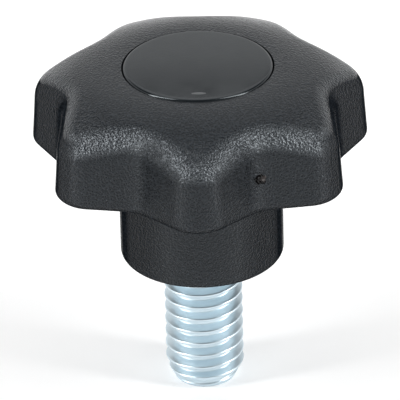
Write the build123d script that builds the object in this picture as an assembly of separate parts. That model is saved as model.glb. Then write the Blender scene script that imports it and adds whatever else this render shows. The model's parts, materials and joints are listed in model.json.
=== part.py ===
"""Seven-arm clamping knob: a moulded head and hub, a press-in cap and a moulded-in threaded stud."""
import math
import os

from build123d import *

# Head with its arms
arm_count = 7
head_radius = 17.2
head_height = 20.8
crown_radius = 15.0
shoulder_radius = 3.0
wall_draft_angle = 4.2
lower_edge_radius = 0.7
blank_overrun = 0.5

# Plan of one arm and of the valley beside it
arm_tip_width = 3.1
arm_flank_angle = 47.3
arm_corner_round = 3.6
valley_round = 4.0

# Hub that stands on the work
hub_radius = 8.25
hub_height = 11.2
hub_seat_edge_radius = 0.4
hub_root_radius = 0.4
countersink_clearance = 0.4

# Cap and its seat in the head
cap_radius = 7.5
cap_proud = 0.3
cap_plate_thickness = 1.5
cap_edge_radius = 0.35
cap_gap = 0.12
skirt_radius = 6.0
skirt_wall = 1.0
skirt_length = 2.6
skirt_lead_in = 0.3
pocket_clearance = 0.4

# Threaded stud and the anchor that is moulded into the hub
thread_major_diameter = 7.94
stud_length = 14.6
stud_point_length = 1.75
stud_point_diameter = 6.2
neck_diameter = 6.8
neck_length = 4.0
anchor_across_flats = 11.0
anchor_height = 5.0
anchor_edge_chamfer = 0.4

# Share of a length within which two places count as one
match_share = 0.005

ON_BASE = (Align.CENTER, Align.CENTER, Align.MIN)


def axis_distance(shape):
    """Distance of a shape's centre from the knob's axis."""
    centre = shape.center()
    return math.hypot(centre.X, centre.Y)


def arm_prism(height):
    """Upright prism of the head's plan: a disc with wedge valleys, all upright edges rounded."""
    pitch = 360 / arm_count
    half_tip = math.asin(arm_tip_width / 2 / head_radius)
    corner = math.radians(pitch / 2) - half_tip
    spread = math.tan(math.radians(pitch / 2 + arm_flank_angle))
    point = head_radius * (math.cos(corner) - math.sin(corner) / spread)
    mouth = point + head_radius
    half_mouth = head_radius * spread
    wedge = Polygon((point, 0), (mouth, -half_mouth), (mouth, half_mouth), align=None)
    first_valley = pitch / 2 - 90
    plan = Rot(Z=first_valley) * Circle(head_radius)
    for index in range(arm_count):
        plan -= Rot(Z=first_valley + pitch * index) * wedge
    prism = Pos(Z=hub_height) * extrude(plan, amount=height)
    between = (point + head_radius) / 2
    upright = prism.edges().filter_by(Axis.Z)
    prism = fillet([e for e in upright if axis_distance(e) < between], valley_round)
    upright = prism.edges().filter_by(Axis.Z)
    rim = head_radius * (1 - match_share)
    prism = fillet([e for e in upright if axis_distance(e) > rim], arm_corner_round)
    walls = prism.faces().filter_by(Axis.Z, reverse=True)
    return draft(walls, Plane.XY.offset(hub_height), wall_draft_angle)


def head_blank():
    """Turned form of the head: a flat seat, a crown that falls to the rim and a flat underside."""
    reach = head_radius + blank_overrun
    flat = cap_radius + cap_gap
    centre = head_height - crown_radius
    middle = (reach - flat) / 2
    halfway = (flat + middle, centre + math.sqrt(crown_radius**2 - middle**2))
    rim = (reach, centre + math.sqrt(crown_radius**2 - (reach - flat) ** 2))
    brow = (flat, head_height)
    sides = Polyline(brow, (0, head_height), (0, hub_height), (reach, hub_height), rim)
    crown = ThreePointArc(rim, halfway, brow)
    return revolve(Plane.XZ * make_face([*sides.edges(), crown]), axis=Axis.Z)


def armed_head():
    """Head cut to its arms, with a soft shoulder above and a small round below."""
    head = head_blank() & arm_prism(head_height)
    crown = head.faces().filter_by(GeomType.PLANE, reverse=True).sort_by(Axis.Z)[-1]
    top = head_height * (1 - match_share)
    head = fillet([e for e in crown.edges() if max(p.Z for p in e.vertices()) < top], shoulder_radius)
    underside = head.faces().sort_by(Axis.Z)[0]
    return fillet(underside.edges(), lower_edge_radius)


def make_stud():
    """Plated stud: a plain bar at the thread's major size, a neck and a six-sided anchor."""
    bar_length = stud_length - stud_point_length
    bar = Pos(Z=-bar_length) * Cylinder(thread_major_diameter / 2, bar_length, align=ON_BASE)
    point = Cone(stud_point_diameter / 2, thread_major_diameter / 2, stud_point_length, align=ON_BASE)
    bar += Pos(Z=-stud_length) * point
    neck = Cylinder(neck_diameter / 2, neck_length, align=ON_BASE)
    flats = RegularPolygon(anchor_across_flats / 2, 6, major_radius=False)
    anchor = extrude(Plane.XY.offset(neck_length) * flats, amount=anchor_height)
    level = anchor.edges().filter_by(Axis.Z, reverse=True)
    anchor = chamfer(level, anchor_edge_chamfer)
    return bar + neck + anchor


def cap_seat_level():
    """Height of the ledge that the cap's plate rests on."""
    return head_height + cap_proud - cap_plate_thickness


def make_cap():
    """Glossy cap: a plate with a rounded edge and a skirt that grips the pocket."""
    seat = cap_seat_level()
    plate = Pos(Z=seat) * Cylinder(cap_radius, cap_plate_thickness, align=ON_BASE)
    plate = fillet(plate.edges().sort_by(Axis.Z)[-1], cap_edge_radius)
    skirt = Pos(Z=seat - skirt_length) * Cylinder(skirt_radius, skirt_length, align=ON_BASE)
    skirt = chamfer(skirt.edges().sort_by(Axis.Z)[0], skirt_lead_in)
    skirt -= Pos(Z=seat - skirt_length) * Cylinder(skirt_radius - skirt_wall, skirt_length, align=ON_BASE)
    return plate + skirt


def make_body(stud):
    """Head and hub in one moulding, with the cap's seat, a countersink and the stud's own shape cut out."""
    hub = Cylinder(hub_radius, hub_height, align=ON_BASE)
    hub = fillet(hub.edges().sort_by(Axis.Z)[0], hub_seat_edge_radius)
    body = armed_head() + hub
    near = hub_height * match_share
    rings = [e for e in body.edges().filter_by(GeomType.CIRCLE) if abs(e.center().Z - hub_height) < near]
    body = fillet(rings, hub_root_radius)
    seat = cap_seat_level()
    body -= Pos(Z=seat) * Cylinder(cap_radius + cap_gap, cap_plate_thickness, align=ON_BASE)
    pocket_depth = skirt_length + pocket_clearance
    body -= Pos(Z=seat - pocket_depth) * Cylinder(skirt_radius, pocket_depth, align=ON_BASE)
    mouth_radius = thread_major_diameter / 2 + countersink_clearance
    body -= Cone(mouth_radius, neck_diameter / 2, mouth_radius - neck_diameter / 2, align=ON_BASE)
    return body - stud


threaded_stud = make_stud()
top_cap = make_cap()
knob_body = make_body(threaded_stud)

os.makedirs("parts", exist_ok=True)
nodes = {"knob_body": knob_body, "top_cap": top_cap, "threaded_stud": threaded_stud}
for name, shape in nodes.items():
    export_step(shape, f"parts/{name}.step")
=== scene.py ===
import json
import math

import bmesh
import bpy
import numpy as np
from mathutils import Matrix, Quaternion, Vector


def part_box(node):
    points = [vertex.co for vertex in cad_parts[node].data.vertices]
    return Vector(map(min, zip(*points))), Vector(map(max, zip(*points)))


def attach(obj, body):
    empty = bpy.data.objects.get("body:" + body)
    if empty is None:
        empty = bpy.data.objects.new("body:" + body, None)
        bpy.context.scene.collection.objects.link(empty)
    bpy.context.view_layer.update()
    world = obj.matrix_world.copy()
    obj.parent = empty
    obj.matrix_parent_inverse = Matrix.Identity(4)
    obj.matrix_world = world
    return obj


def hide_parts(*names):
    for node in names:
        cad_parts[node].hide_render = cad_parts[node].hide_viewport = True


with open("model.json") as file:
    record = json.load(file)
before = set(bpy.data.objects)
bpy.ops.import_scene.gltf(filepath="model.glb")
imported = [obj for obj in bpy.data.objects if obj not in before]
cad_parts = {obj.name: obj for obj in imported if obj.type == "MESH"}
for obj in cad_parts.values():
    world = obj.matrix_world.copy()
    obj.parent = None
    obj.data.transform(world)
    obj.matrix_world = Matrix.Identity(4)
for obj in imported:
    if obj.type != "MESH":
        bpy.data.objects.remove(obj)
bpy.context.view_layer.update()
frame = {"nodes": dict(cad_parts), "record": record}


# Moulded body
# The head with its seven arms and the hub are one injection moulding in slate-black technopolymer.
# The mould was spark-eroded, so every outer face carries a fine pitted grain with a soft sheen.

MM = 0.001
UNIT = (0.0, 1.0)
SLATE = (0.0035, 0.0046, 0.0062, 1.0)
SLATE_WORN = (0.015, 0.018, 0.022, 1.0)
SLATE_SHEEN = (0.88, 0.95, 1.0, 1.0)
SLATE_ROUGHNESS = 0.20
PIT_SIZE = 0.21 * MM
PIT_DEPTH = 0.135 * MM
PIT_SOFTNESS = 0.3
RIDGE_SPAN = (0.35, 0.65)
GRIT_SHARE = 0.3
GRIT_DETAIL = 4.0
GRIT_ROUGHNESS = 0.65
PATCH_SCALE = 260.0
PATCH_DETAIL = 3.0
SHOULDER_GLOSS = 1.0
# A lean is the upward part of the normal: first where a change sets in, then where it is full
CROWN_LEAN = (0.70, 0.95)
CROWN_DULLING = 0.74
CROWN_GRAIN = 0.5
WALL_LEAN = (0.40, 0.15)
WALL_DULLING = 0.66
GLANCE_LEAN = (0.85, 0.60)
GLANCE_CURVE = ((0.12, 0.0), (0.30, 0.82), (0.45, 0.945), (0.85, 0.998))


def new_material(name):
    """Node material with one Principled shader; returns the material, its node tree and the shader."""
    material = bpy.data.materials.new(name)
    material.use_nodes = True
    tree = material.node_tree
    return material, tree, tree.nodes["Principled BSDF"]


def pitted_group():
    """Node group for an eroded skin: round pits of one size, roughened by a finer grit.

    Size is a pit's width in metres. Height is low in the middle of a pit and high on the ridges between
    pits, and Patch is a slow variation a few millimetres across.
    """
    group = bpy.data.node_groups.new("pitted_skin", "ShaderNodeTree")
    size = group.interface.new_socket("Size", in_out="INPUT", socket_type="NodeSocketFloat")
    size.default_value = PIT_SIZE
    for name in ("Height", "Patch"):
        group.interface.new_socket(name, in_out="OUTPUT", socket_type="NodeSocketFloat")
    nodes = group.nodes
    links = group.links
    source = nodes.new("NodeGroupInput")
    sink = nodes.new("NodeGroupOutput")
    place = nodes.new("ShaderNodeTexCoord")
    scale = nodes.new("ShaderNodeMath")
    scale.operation = "DIVIDE"
    scale.inputs[0].default_value = 1.0
    links.new(source.outputs["Size"], scale.inputs[1])
    pits = nodes.new("ShaderNodeTexVoronoi")
    pits.feature = "SMOOTH_F1"
    pits.inputs["Smoothness"].default_value = PIT_SOFTNESS
    grit = nodes.new("ShaderNodeTexNoise")
    grit.inputs["Detail"].default_value = GRIT_DETAIL
    grit.inputs["Roughness"].default_value = GRIT_ROUGHNESS
    patch = nodes.new("ShaderNodeTexNoise")
    patch.inputs["Scale"].default_value = PATCH_SCALE
    patch.inputs["Detail"].default_value = PATCH_DETAIL
    for texture in (pits, grit):
        links.new(scale.outputs[0], texture.inputs["Scale"])
    for texture in (pits, grit, patch):
        links.new(place.outputs["Object"], texture.inputs["Vector"])
    blend = nodes.new("ShaderNodeMix")
    blend.inputs["Factor"].default_value = GRIT_SHARE
    links.new(pits.outputs["Distance"], blend.inputs["A"])
    links.new(grit.outputs["Fac"], blend.inputs["B"])
    links.new(blend.outputs["Result"], sink.inputs["Height"])
    links.new(patch.outputs["Fac"], sink.inputs["Patch"])
    return group


PITTED = pitted_group()


def pitted_skin(tree, size):
    """Places the pitted skin in a material, with pits of the given width; returns the group node."""
    skin = tree.nodes.new("ShaderNodeGroup")
    skin.node_tree = PITTED
    skin.inputs["Size"].default_value = size
    return skin


def value_map(tree, source, span, target):
    """Map Range node that carries source from one span of values to another; returns its output."""
    node = tree.nodes.new("ShaderNodeMapRange")
    for name, value in zip(("From Min", "From Max", "To Min", "To Max"), span + target):
        node.inputs[name].default_value = value
    tree.links.new(source, node.inputs["Value"])
    return node.outputs["Result"]


def curve_map(tree, source, places):
    """Float Curve node that carries source along a smooth curve through places; returns its output."""
    node = tree.nodes.new("ShaderNodeFloatCurve")
    points = node.mapping.curves[0].points
    points[0].location, points[1].location = places[0], places[-1]
    for place in places[1:-1]:
        points.new(*place)
    node.mapping.update()
    tree.links.new(source, node.inputs["Value"])
    return node.outputs["Value"]


def combine(tree, operation, first, second):
    """Math node that joins two outputs by the operation; returns its output."""
    node = tree.nodes.new("ShaderNodeMath")
    node.operation = operation
    tree.links.new(first, node.inputs[0])
    tree.links.new(second, node.inputs[1])
    return node.outputs["Value"]


def colour_mix(tree, factor, first, second):
    """Mix node that goes from the first colour to the second as factor rises; returns its output."""
    node = tree.nodes.new("ShaderNodeMix")
    node.data_type = "RGBA"
    node.inputs["A"].default_value = first
    node.inputs["B"].default_value = second
    tree.links.new(factor, node.inputs["Factor"])
    return node.outputs["Result"]


def raise_bump(tree, shader, height, depth):
    """Bump of the given depth from height to the shader's normal; returns the bump's strength socket."""
    bump = tree.nodes.new("ShaderNodeBump")
    bump.inputs["Distance"].default_value = depth
    tree.links.new(height, bump.inputs["Height"])
    tree.links.new(bump.outputs["Normal"], shader.inputs["Normal"])
    return bump.inputs["Strength"]


def grained_plastic():
    """Slate-black plastic: the pits drive the bump, and the ridges between them are worn a little greyer.

    The handled shoulders have the most gloss. Crown and walls are duller, by the upward part of the normal,
    and the crown's grain is shallower. Off the crown the gloss also fades towards a glancing view, where
    ridges hide the pits behind them.
    """
    material, tree, shader = new_material("grained_plastic")
    skin = pitted_skin(tree, PIT_SIZE)
    shader.inputs["Specular Tint"].default_value = SLATE_SHEEN
    shader.inputs["Roughness"].default_value = SLATE_ROUGHNESS
    ridge = value_map(tree, skin.outputs["Height"], RIDGE_SPAN, UNIT)
    tree.links.new(colour_mix(tree, ridge, SLATE, SLATE_WORN), shader.inputs["Base Color"])
    geometry = tree.nodes.new("ShaderNodeNewGeometry")
    axes = tree.nodes.new("ShaderNodeSeparateXYZ")
    tree.links.new(geometry.outputs["Normal"], axes.inputs["Vector"])
    lean = axes.outputs["Z"]
    facing = tree.nodes.new("ShaderNodeLayerWeight").outputs["Facing"]
    crown = value_map(tree, lean, CROWN_LEAN, (0.0, CROWN_DULLING))
    wall = value_map(tree, lean, WALL_LEAN, (0.0, WALL_DULLING))
    upright = value_map(tree, lean, GLANCE_LEAN, UNIT)
    glance = combine(tree, "MULTIPLY", curve_map(tree, facing, GLANCE_CURVE), upright)
    dulling = combine(tree, "MAXIMUM", combine(tree, "MAXIMUM", crown, wall), glance)
    gloss = value_map(tree, dulling, UNIT, (SHOULDER_GLOSS, 0.0))
    tree.links.new(gloss, shader.inputs["Specular IOR Level"])
    strength = raise_bump(tree, shader, skin.outputs["Height"], PIT_DEPTH)
    tree.links.new(value_map(tree, lean, CROWN_LEAN, (1.0, CROWN_GRAIN)), strength)
    return material


body_mesh = frame["nodes"]["knob_body"].data
body_mesh.materials.clear()
body_mesh.materials.append(grained_plastic())


# Gate mark
# A torn scar on the wall of the valley beside the front arm, where the sprue was broken off.
# It is a low ragged crater of the body's plastic, a little over a millimetre across, with a painted
# highlight on its chip and painted shade in its pit.

GATE_TURN = math.radians(-64.3)
GATE_LEVEL = 15.0 * MM
GATE_RADIUS = 0.65 * MM
GATE_ROW_SHARES = (0.0, 0.15, 0.3, 0.45, 0.6, 0.75, 0.9, 1.0, 1.0, 0.0)
GATE_COLUMNS = 48
GATE_SPLINTERS = 5
GATE_JAG_SHARE = 0.10
GATE_STRETCH_SHARE = 0.16
GATE_STRETCH_TURN = 1.0
RIM_HEIGHT = 0.45 * MM
RIM_PLACE_SHARE = 0.55
RIM_SPREAD_SHARE = 0.22
RIM_MEAN_SHARE = 0.5
RIM_SWING_SHARE = 0.35
RIM_JAG_SHARE = 0.15
RIM_PEAK_TURN = math.radians(-15.0)
CRATER_FLOOR = 0.03 * MM
CRATER_FLOOR_SHARE = 0.3
GATE_SINK = 0.10 * MM
GATE_SINK_SHARES = (0.3, 1.0, 1.0)
CHIP_PLACE = 0.45 * GATE_RADIUS
CHIP_HIGHLIGHT_FADE = (0.25 * GATE_RADIUS, 0.55 * GATE_RADIUS)
# The pale colour is a painted highlight on the chip, and the dark colour is painted shade in the pit.
CHIP_PAINTED_HIGHLIGHT = (0.060, 0.050, 0.048, 1.0)
PIT_PAINTED_SHADE = (0.0030, 0.0026, 0.0026, 1.0)
TORN_GLOSS = 0.2
UPWARD = Vector((0.0, 0.0, 1.0))
MERGE_DISTANCE = 1e-7


def mesh_object(name, vertices, faces):
    """Smooth mesh object at the origin, with coincident points merged so that seams and poles close."""
    mesh = bpy.data.meshes.new(name)
    mesh.from_pydata(vertices.tolist(), [], faces.tolist())
    work = bmesh.new()
    work.from_mesh(mesh)
    bmesh.ops.remove_doubles(work, verts=work.verts, dist=MERGE_DISTANCE)
    work.to_mesh(mesh)
    work.free()
    mesh.polygons.foreach_set("use_smooth", np.ones(len(mesh.polygons), dtype=bool))
    mesh.update()
    piece = bpy.data.objects.new(name, mesh)
    bpy.context.scene.collection.objects.link(piece)
    return piece


def column_angles(columns):
    """Angles of a ring's columns, evenly spread over the full turn, as an upright array."""
    return 2 * math.pi * np.arange(columns)[:, None] / columns


def ring_faces(columns, rows):
    """Quads of a grid that closes on itself round the axis, numbered column by column."""
    index = np.arange(columns * rows).reshape(columns, rows)
    right = np.roll(index, -1, axis=0)
    return np.stack([index[:, :-1], index[:, 1:], right[:, 1:], right[:, :-1]], -1).reshape(-1, 4)


def gate_crater(foot, out):
    """Polar grid on the plane at foot that faces out: a raised ragged rim round a shallow pit.

    The rim's height follows a bell over the radius, swings to a peak on one side and is cut into splinters
    by a sine round the scar. The outermost rows sink into the wall and close it from behind. Seen from
    outside the columns run clockwise, so the faces are turned round.
    """
    across = out.cross(UPWARD).normalized()
    up = across.cross(out)
    share = np.array(GATE_ROW_SHARES)
    angle = column_angles(GATE_COLUMNS)
    splinters = np.sin(GATE_SPLINTERS * angle)
    ragged = GATE_JAG_SHARE * splinters + GATE_STRETCH_SHARE * np.sin(2 * angle + GATE_STRETCH_TURN)
    torn = RIM_MEAN_SHARE + RIM_SWING_SHARE * np.cos(angle - RIM_PEAK_TURN) + RIM_JAG_SHARE * splinters
    rise = RIM_HEIGHT * np.exp(-((share - RIM_PLACE_SHARE) / RIM_SPREAD_SHARE) ** 2) * torn
    rise = rise + np.where(share < CRATER_FLOOR_SHARE, CRATER_FLOOR, 0.0)
    rise[:, 0] = CRATER_FLOOR
    rise[:, -len(GATE_SINK_SHARES):] = -GATE_SINK * np.array(GATE_SINK_SHARES)
    reach = GATE_RADIUS * share * (1 + ragged * share)
    points = (np.array(foot) + (reach * np.cos(angle))[..., None] * np.array(across)
              + (reach * np.sin(angle))[..., None] * np.array(up) + rise[..., None] * np.array(out))
    return points.reshape(-1, 3), ring_faces(GATE_COLUMNS, len(share))[:, ::-1]


def gate_painted_light(chip):
    """Broken plastic with a painted highlight on the chip and painted shade in the pit round it, by
    distance from the chip's place.
    """
    material, tree, shader = new_material("gate_painted_light")
    shader.inputs["Specular IOR Level"].default_value = TORN_GLOSS
    shader.inputs["Roughness"].default_value = SLATE_ROUGHNESS
    place = tree.nodes.new("ShaderNodeTexCoord")
    distance = tree.nodes.new("ShaderNodeVectorMath")
    distance.operation = "DISTANCE"
    distance.inputs[1].default_value = chip
    tree.links.new(place.outputs["Object"], distance.inputs[0])
    # Painted highlight near the chip's place, fading into painted shade further away.
    away = value_map(tree, distance.outputs["Value"], CHIP_HIGHLIGHT_FADE, UNIT)
    tree.links.new(colour_mix(tree, away, CHIP_PAINTED_HIGHLIGHT, PIT_PAINTED_SHADE), shader.inputs["Base Color"])
    return material


gate_out = Vector((math.cos(GATE_TURN), math.sin(GATE_TURN), 0.0))
body_reach = float(np.max(np.abs(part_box("knob_body"))))
gate_start = gate_out * 2 * body_reach + UPWARD * GATE_LEVEL
gate_foot, gate_normal = frame["nodes"]["knob_body"].ray_cast(gate_start, -gate_out)[1:3]
gate_chip = gate_foot + UPWARD.cross(gate_normal) * CHIP_PLACE
gate = mesh_object("gate_mark", *gate_crater(gate_foot, gate_normal))
gate.data.materials.append(gate_painted_light(gate_chip))
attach(gate, "root")


# Top cap
# A round cap of glossy black plastic, pressed into the head by its skirt.
# Its polished face is slightly domed, with a soft ripple from moulding.

CAP_BLACK = (0.006, 0.008, 0.010, 1.0)
CAP_SHEEN = (0.88, 0.96, 1.0, 1.0)
CAP_POLISH = (0.12, 0.20)
CAP_PATCH_SPAN = (0.3, 0.7)
CAP_RIPPLE = 0.5 * MM
CAP_RIPPLE_DEPTH = 0.004 * MM
CAP_RIPPLE_STRENGTH = 0.25
CAP_LOW, CAP_HIGH = (np.array(corner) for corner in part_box("top_cap"))
CAP_RADIUS = CAP_HIGH[0]
CAP_PLATE = 1.5 * MM
CAP_EDGE = 0.35 * MM
CAP_DOME = 0.14 * MM
CAP_COLUMNS = 160
CAP_FACE_ROWS = 24
CAP_EDGE_ROWS = 9
SKIRT_RADIUS = 6.0 * MM
SKIRT_WALL = 1.0 * MM
SKIRT_LEAD_IN = 0.3 * MM


def turned_points(out, level, columns):
    """Points of a profile of radii and levels, carried round the axis column by column."""
    angle = column_angles(columns)
    return np.stack([out * np.cos(angle), out * np.sin(angle), level + 0 * angle], -1).reshape(-1, 3)


def domed_cap():
    """Surface of revolution: a face that falls with the radius squared, a round edge, plate and skirt."""
    top = CAP_HIGH[2]
    bottom = CAP_LOW[2]
    seat = top - CAP_PLATE
    face = np.linspace(0.0, CAP_RADIUS - CAP_EDGE, CAP_FACE_ROWS)
    face_level = top - CAP_DOME * (face / CAP_RADIUS) ** 2
    turn = np.linspace(0.0, math.pi / 2, CAP_EDGE_ROWS)[1:]
    edge = CAP_RADIUS - CAP_EDGE * (1 - np.sin(turn))
    edge_level = face_level[-1] - CAP_EDGE * (1 - np.cos(turn))
    bore = SKIRT_RADIUS - SKIRT_WALL
    skirt = [CAP_RADIUS, SKIRT_RADIUS, SKIRT_RADIUS, SKIRT_RADIUS - SKIRT_LEAD_IN, bore, bore, 0.0]
    skirt_level = [seat, seat, bottom + SKIRT_LEAD_IN, bottom, bottom, seat, seat]
    out = np.concatenate([face, edge, skirt])
    level = np.concatenate([face_level, edge_level, skirt_level])
    return turned_points(out, level, CAP_COLUMNS), ring_faces(CAP_COLUMNS, len(out))


def polished_plastic(name, colour, roughness):
    """Plastic whose roughness drifts slowly over the given range, with a faint ripple from shallow pits."""
    material, tree, shader = new_material(name)
    shader.inputs["Base Color"].default_value = colour
    shader.inputs["Specular Tint"].default_value = CAP_SHEEN
    skin = pitted_skin(tree, CAP_RIPPLE)
    polish = value_map(tree, skin.outputs["Patch"], CAP_PATCH_SPAN, roughness)
    tree.links.new(polish, shader.inputs["Roughness"])
    strength = raise_bump(tree, shader, skin.outputs["Height"], CAP_RIPPLE_DEPTH)
    strength.default_value = CAP_RIPPLE_STRENGTH
    return material


cap = mesh_object("polished_cap", *domed_cap())
cap.data.materials.append(polished_plastic("polished_plastic", CAP_BLACK, CAP_POLISH))
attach(cap, "root")
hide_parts("top_cap")


# Cap vestige
# A short flat sliver on the cap's face near its front edge, left where the cap was cut from its sprue.
# It is the cap's own plastic, painted paler than the polish round it as a painted highlight.

# The sliver's pale colour is a painted highlight.
CAP_PAINTED_HIGHLIGHT = (0.075, 0.079, 0.081, 1.0)
VESTIGE_POLISH = (0.35, 0.45)
VESTIGE_PLACE = 6.05 * MM
VESTIGE_SIDE = 0.15 * MM
VESTIGE_LENGTH = 1.45 * MM
VESTIGE_WIDTH = 0.42 * MM
VESTIGE_RISE = 0.02 * MM
VESTIGE_ROW_SHARES = (0.0, 0.4, 0.7, 0.9, 1.0, 1.0, 0.0)
VESTIGE_COLUMNS = 32


def cut_sliver():
    """Polar grid over a flat ellipse: the cap's dome, raised by a parabola and closed a little below it."""
    share = np.array(VESTIGE_ROW_SHARES)
    rise = VESTIGE_RISE * (1 - share ** 2)
    rise[-2:] = -VESTIGE_RISE
    angle = column_angles(VESTIGE_COLUMNS)
    along = VESTIGE_LENGTH / 2 * share * np.cos(angle) + VESTIGE_SIDE
    across = VESTIGE_WIDTH / 2 * share * np.sin(angle) - VESTIGE_PLACE
    level = CAP_HIGH[2] - CAP_DOME * (along ** 2 + across ** 2) / CAP_RADIUS ** 2 + rise
    return np.stack([along, across, level], -1).reshape(-1, 3), ring_faces(VESTIGE_COLUMNS, len(share))


vestige = mesh_object("cap_vestige", *cut_sliver())
vestige.data.materials.append(polished_plastic("vestige_painted_highlight", CAP_PAINTED_HIGHLIGHT, VESTIGE_POLISH))
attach(vestige, "root")


# Threaded stud
# A pointed steel stud with a rolled thread, flat at its crests, zinc plated to a bright blue-white.
# Inside the hub it has a neck and a six-sided anchor, which the plastic is moulded round.

STUD_LOW, STUD_HIGH = (np.array(corner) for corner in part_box("threaded_stud"))
STUD_MOUNT = frame["record"]["mounts"][0]["dims"]
STUD_LENGTH = -STUD_LOW[2]
STUD_COLUMNS = 120
MAJOR_RADIUS = STUD_MOUNT["r_mm"] * MM
POINT_START = STUD_MOUNT["length_mm"] * MM
POINT_RADIUS = 3.1 * MM
PITCH = 1.411 * MM
ROWS_PER_PITCH = 24
THREAD_DEPTH = 0.6 * PITCH
THREAD_START_SHARE = 0.275
CREST_HALF_SHARE = 1 / 16
ROOT_HALF_SHARE = 1 / 8
ROOT_KNEE_SHARE = 0.85
ROOT_LIMIT_SHARE = 1.25
NECK_RADIUS = 3.4 * MM
NECK_LENGTH = 4.0 * MM
ANCHOR_SIDES = 6
ANCHOR_HALF_FLATS = 5.5 * MM
ANCHOR_CHAMFER = 0.4 * MM
ZINC = (0.68, 0.79, 0.85, 1.0)
ZINC_DULL = (0.58, 0.69, 0.75, 1.0)
ZINC_PATCH_SPAN = (0.3, 0.55)
ZINC_FLECK = 0.5 * MM
ZINC_FLECK_DEPTH = 0.004 * MM
ZINC_FLECK_STRENGTH = 0.4
ZINC_FLECK_SPAN = (0.3, 0.7)
ZINC_ROUGHNESS = (0.33, 0.40)


def thread_radius(phase):
    """Radius across one pitch: a flat crest an eighth wide, straight steep flanks and a root.

    Phase runs over 1 from root to root. Past the knee of the flank the depth follows a hyperbolic
    tangent, which rounds the root.
    """
    distance = np.abs((phase % 1.0) - 0.5)
    flank = 0.5 - ROOT_HALF_SHARE - CREST_HALF_SHARE
    along = np.clip((distance - CREST_HALF_SHARE) / flank, 0.0, ROOT_LIMIT_SHARE)
    rest = 1 - ROOT_KNEE_SHARE
    rounded = ROOT_KNEE_SHARE + rest * np.tanh((along - ROOT_KNEE_SHARE) / rest)
    return MAJOR_RADIUS - THREAD_DEPTH * np.where(along > ROOT_KNEE_SHARE, rounded, along)


def threaded_bar():
    """Closed helical grid: row j at column i lies j steps below the top, raised by the helix's climb.

    The radius is the thread's, cut by the point's cone. Past the stud's end the rows close as a flat
    disc, and above the hub's seat they close as a flat ring down to the neck.
    """
    step = PITCH / ROWS_PER_PITCH
    rows = int((STUD_LENGTH + 2 * PITCH + POINT_RADIUS) / step) + 2
    column = np.arange(STUD_COLUMNS)[:, None]
    row = np.arange(rows)[None, :]
    angle = column_angles(STUD_COLUMNS)
    below = row * step - PITCH * column / STUD_COLUMNS - step
    past_point = np.clip((below - POINT_START) / (STUD_LENGTH - POINT_START), 0.0, 1.0)
    cone = MAJOR_RADIUS + (POINT_RADIUS - MAJOR_RADIUS) * past_point
    radius = np.minimum(thread_radius(row / ROWS_PER_PITCH + THREAD_START_SHARE), cone)
    past_end = np.clip(below - STUD_LENGTH, 0.0, None)
    radius = np.where(past_end > 0, np.clip(POINT_RADIUS - past_end, 0.0, radius), radius)
    radius = np.where(below < 0, NECK_RADIUS, radius)
    level = -np.clip(below, 0.0, STUD_LENGTH)
    points = np.stack([radius * np.cos(angle), radius * np.sin(angle), level], -1).reshape(-1, 3)
    index = np.arange(STUD_COLUMNS * rows).reshape(STUD_COLUMNS, rows)
    left = index[:-1]
    right = index[1:]
    body = np.stack([left[:, :-1], left[:, 1:], right[:, 1:], right[:, :-1]], -1).reshape(-1, 4)
    last = index[-1, ROWS_PER_PITCH:]
    first = index[0, :-ROWS_PER_PITCH]
    seam = np.stack([last[:-1], last[1:], first[1:], first[:-1]], -1)
    return points, np.concatenate([body, seam])


def hidden_anchor():
    """Neck and six-sided head inside the hub: rows of size and level, round below and hexagonal above.

    The hexagon's radius at an angle is its half width over flats divided by the cosine of the angle
    from the nearest flat's middle.
    """
    top = STUD_HIGH[2]
    angle = column_angles(STUD_COLUMNS)
    flat = 2 * math.pi / ANCHOR_SIDES
    corner = 1 / np.cos((angle + flat / 2) % flat - flat / 2)
    inner = ANCHOR_HALF_FLATS - ANCHOR_CHAMFER
    sizes = np.array([0.0, inner, ANCHOR_HALF_FLATS, ANCHOR_HALF_FLATS, inner, NECK_RADIUS, NECK_RADIUS])
    upper = [top, top, top - ANCHOR_CHAMFER]
    lower = [NECK_LENGTH + ANCHOR_CHAMFER, NECK_LENGTH, NECK_LENGTH, 0.0]
    radius = np.where(sizes > NECK_RADIUS, sizes * corner, sizes)
    points = turned_points(radius, np.array(upper + lower), STUD_COLUMNS)
    return points, ring_faces(STUD_COLUMNS, len(sizes))


def bright_zinc():
    """Plated steel: blue-white metal whose tint drifts slowly and whose sheen is finely flecked."""
    material, tree, shader = new_material("bright_zinc")
    shader.inputs["Metallic"].default_value = 1.0
    skin = pitted_skin(tree, ZINC_FLECK)
    bright = value_map(tree, skin.outputs["Patch"], ZINC_PATCH_SPAN, UNIT)
    tree.links.new(colour_mix(tree, bright, ZINC_DULL, ZINC), shader.inputs["Base Color"])
    sheen = value_map(tree, skin.outputs["Height"], ZINC_FLECK_SPAN, ZINC_ROUGHNESS)
    tree.links.new(sheen, shader.inputs["Roughness"])
    strength = raise_bump(tree, shader, skin.outputs["Height"], ZINC_FLECK_DEPTH)
    strength.default_value = ZINC_FLECK_STRENGTH
    return material


bar_points, bar_faces = threaded_bar()
anchor_points, anchor_faces = hidden_anchor()
stud = mesh_object("zinc_stud", np.concatenate([bar_points, anchor_points]),
                   np.concatenate([bar_faces, anchor_faces + len(bar_points)]))
stud.data.materials.append(bright_zinc())
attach(stud, "root")
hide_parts("threaded_stud")


# Floor and cove
# A pale round floor under the stud's point, swept up all round into a low wall.
# It takes the knob's soft shadow and shows white to the camera and in reflections.

COVE_FLAT = 1.1
COVE_SWEEP = 0.5
COVE_TOP = 0.95
COVE_COLUMNS = 96
COVE_SWEEP_ROWS = 13
FLOOR_WHITE = (0.85, 0.85, 0.85, 1.0)
FLOOR_ROUGHNESS = 0.9
PURE_WHITE = (1.0, 1.0, 1.0, 1.0)
FLOOR_LIFT = (0.27, 0.72)
FLOOR_LIFT_REACH = 0.35


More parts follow.
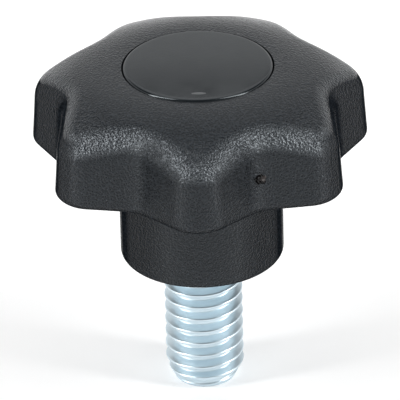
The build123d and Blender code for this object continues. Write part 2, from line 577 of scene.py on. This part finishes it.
def pale_cove():
    """Surface of revolution: a disc, a quarter circle of the sweep's radius and an upright wall."""
    turn = np.linspace(0.0, math.pi / 2, COVE_SWEEP_ROWS)
    rim = COVE_FLAT + COVE_SWEEP
    out = np.concatenate([[0.0, COVE_FLAT / 2], COVE_FLAT + COVE_SWEEP * np.sin(turn), [rim]])
    up = np.concatenate([[0.0, 0.0], COVE_SWEEP * (1 - np.cos(turn)), [COVE_TOP]])
    return turned_points(out, STUD_LOW[2] + up, COVE_COLUMNS), ring_faces(COVE_COLUMNS, len(out))


def seen_directly(tree):
    """Output that is 1 for camera, glossy and transmitted rays, which show the background, and else 0."""
    path = tree.nodes.new("ShaderNodeLightPath")
    total = path.outputs["Is Camera Ray"]
    for name in ("Is Glossy Ray", "Is Transmission Ray"):
        total = combine(tree, "MAXIMUM", total, path.outputs[name])
    return total


def pale_paper():
    """Matt white sheet, lifted towards white where it is looked at, and more so far from the knob."""
    material, tree, shader = new_material("pale_paper")
    shader.inputs["Base Color"].default_value = FLOOR_WHITE
    shader.inputs["Roughness"].default_value = FLOOR_ROUGHNESS
    shader.inputs["Specular IOR Level"].default_value = 0.0
    shader.inputs["Emission Color"].default_value = PURE_WHITE
    place = tree.nodes.new("ShaderNodeTexCoord")
    reach = tree.nodes.new("ShaderNodeVectorMath")
    reach.operation = "LENGTH"
    tree.links.new(place.outputs["Object"], reach.inputs[0])
    level = value_map(tree, reach.outputs["Value"], (0.0, FLOOR_LIFT_REACH), FLOOR_LIFT)
    lift = combine(tree, "MULTIPLY", level, seen_directly(tree))
    tree.links.new(lift, shader.inputs["Emission Strength"])
    return material


floor = mesh_object("floor", *pale_cove())
floor.data.materials.append(pale_paper())


# Studio light
# A tall narrow soft box stands at each side, a little in front of the knob, and a broad dim one above
# and behind it. The front is darker, so shoulders and corners catch the side boxes and walls stay deep.

AMBIENT = 0.12
LAMP_AIM = 12.0 * MM
SOFT_BOXES = {
    "left": ((-0.36, -0.12, 0.30), 0.08, 0.62, 1.9),
    "right": ((0.36, -0.12, 0.30), 0.08, 0.62, 1.9),
    "over": ((0.0, 0.25, 0.40), 0.50, 0.40, 0.65),
}


def soft_box(name, place, width, height, watts):
    """Rectangular lamp that faces the middle of the knob and is not itself seen by the camera."""
    lamp = bpy.data.lights.new(name, "AREA")
    lamp.shape = "RECTANGLE"
    lamp.size = width
    lamp.size_y = height
    lamp.energy = watts
    holder = bpy.data.objects.new(name, lamp)
    holder.location = place
    aim = UPWARD * LAMP_AIM - Vector(place)
    holder.rotation_euler = aim.to_track_quat("-Z", "Y").to_euler()
    holder.visible_camera = False
    bpy.context.scene.collection.objects.link(holder)


for box_name, values in SOFT_BOXES.items():
    soft_box(box_name, *values)

world = bpy.data.worlds.new("studio")
world.use_nodes = True
bpy.context.scene.world = world
sky = world.node_tree.nodes["Background"]
sky.inputs["Color"].default_value = PURE_WHITE
sky.inputs["Strength"].default_value = AMBIENT


# Camera
# A long lens above the knob's front, turned slightly to its right and rolled a little.
# It looks down by just under thirty degrees, so that arms, cap, hub and stud all show.

VIEW_TURN = math.radians(1.17)
VIEW_RISE = math.radians(29.24)
VIEW_ROLL = math.radians(1.455)
VIEW_DISTANCE = 520.0 * MM
VIEW_PIVOT = 8.5 * MM
VIEW_AIM = 5.55 * MM
VIEW_AIM_SIDE = -0.12 * MM
SENSOR_WIDTH = 36.0
FOCAL_PIXELS = 5178.0
IMAGE_PIXELS = 400.0

eye = bpy.data.cameras.new("eye")
eye.sensor_width = SENSOR_WIDTH
eye.lens = FOCAL_PIXELS / IMAGE_PIXELS * SENSOR_WIDTH
eye_holder = bpy.data.objects.new("eye", eye)
level_reach = VIEW_DISTANCE * math.cos(VIEW_RISE)
eye_holder.location = (level_reach * math.sin(VIEW_TURN), -level_reach * math.cos(VIEW_TURN),
                       VIEW_DISTANCE * math.sin(VIEW_RISE) + VIEW_PIVOT)
gaze = (Vector((VIEW_AIM_SIDE, 0.0, VIEW_AIM)) - eye_holder.location).to_track_quat("-Z", "Y")
eye_holder.rotation_euler = (gaze @ Quaternion(UPWARD, -VIEW_ROLL)).to_euler()
bpy.context.scene.collection.objects.link(eye_holder)
bpy.context.scene.camera = eye_holder
bpy.context.scene.view_settings.view_transform = "Standard"
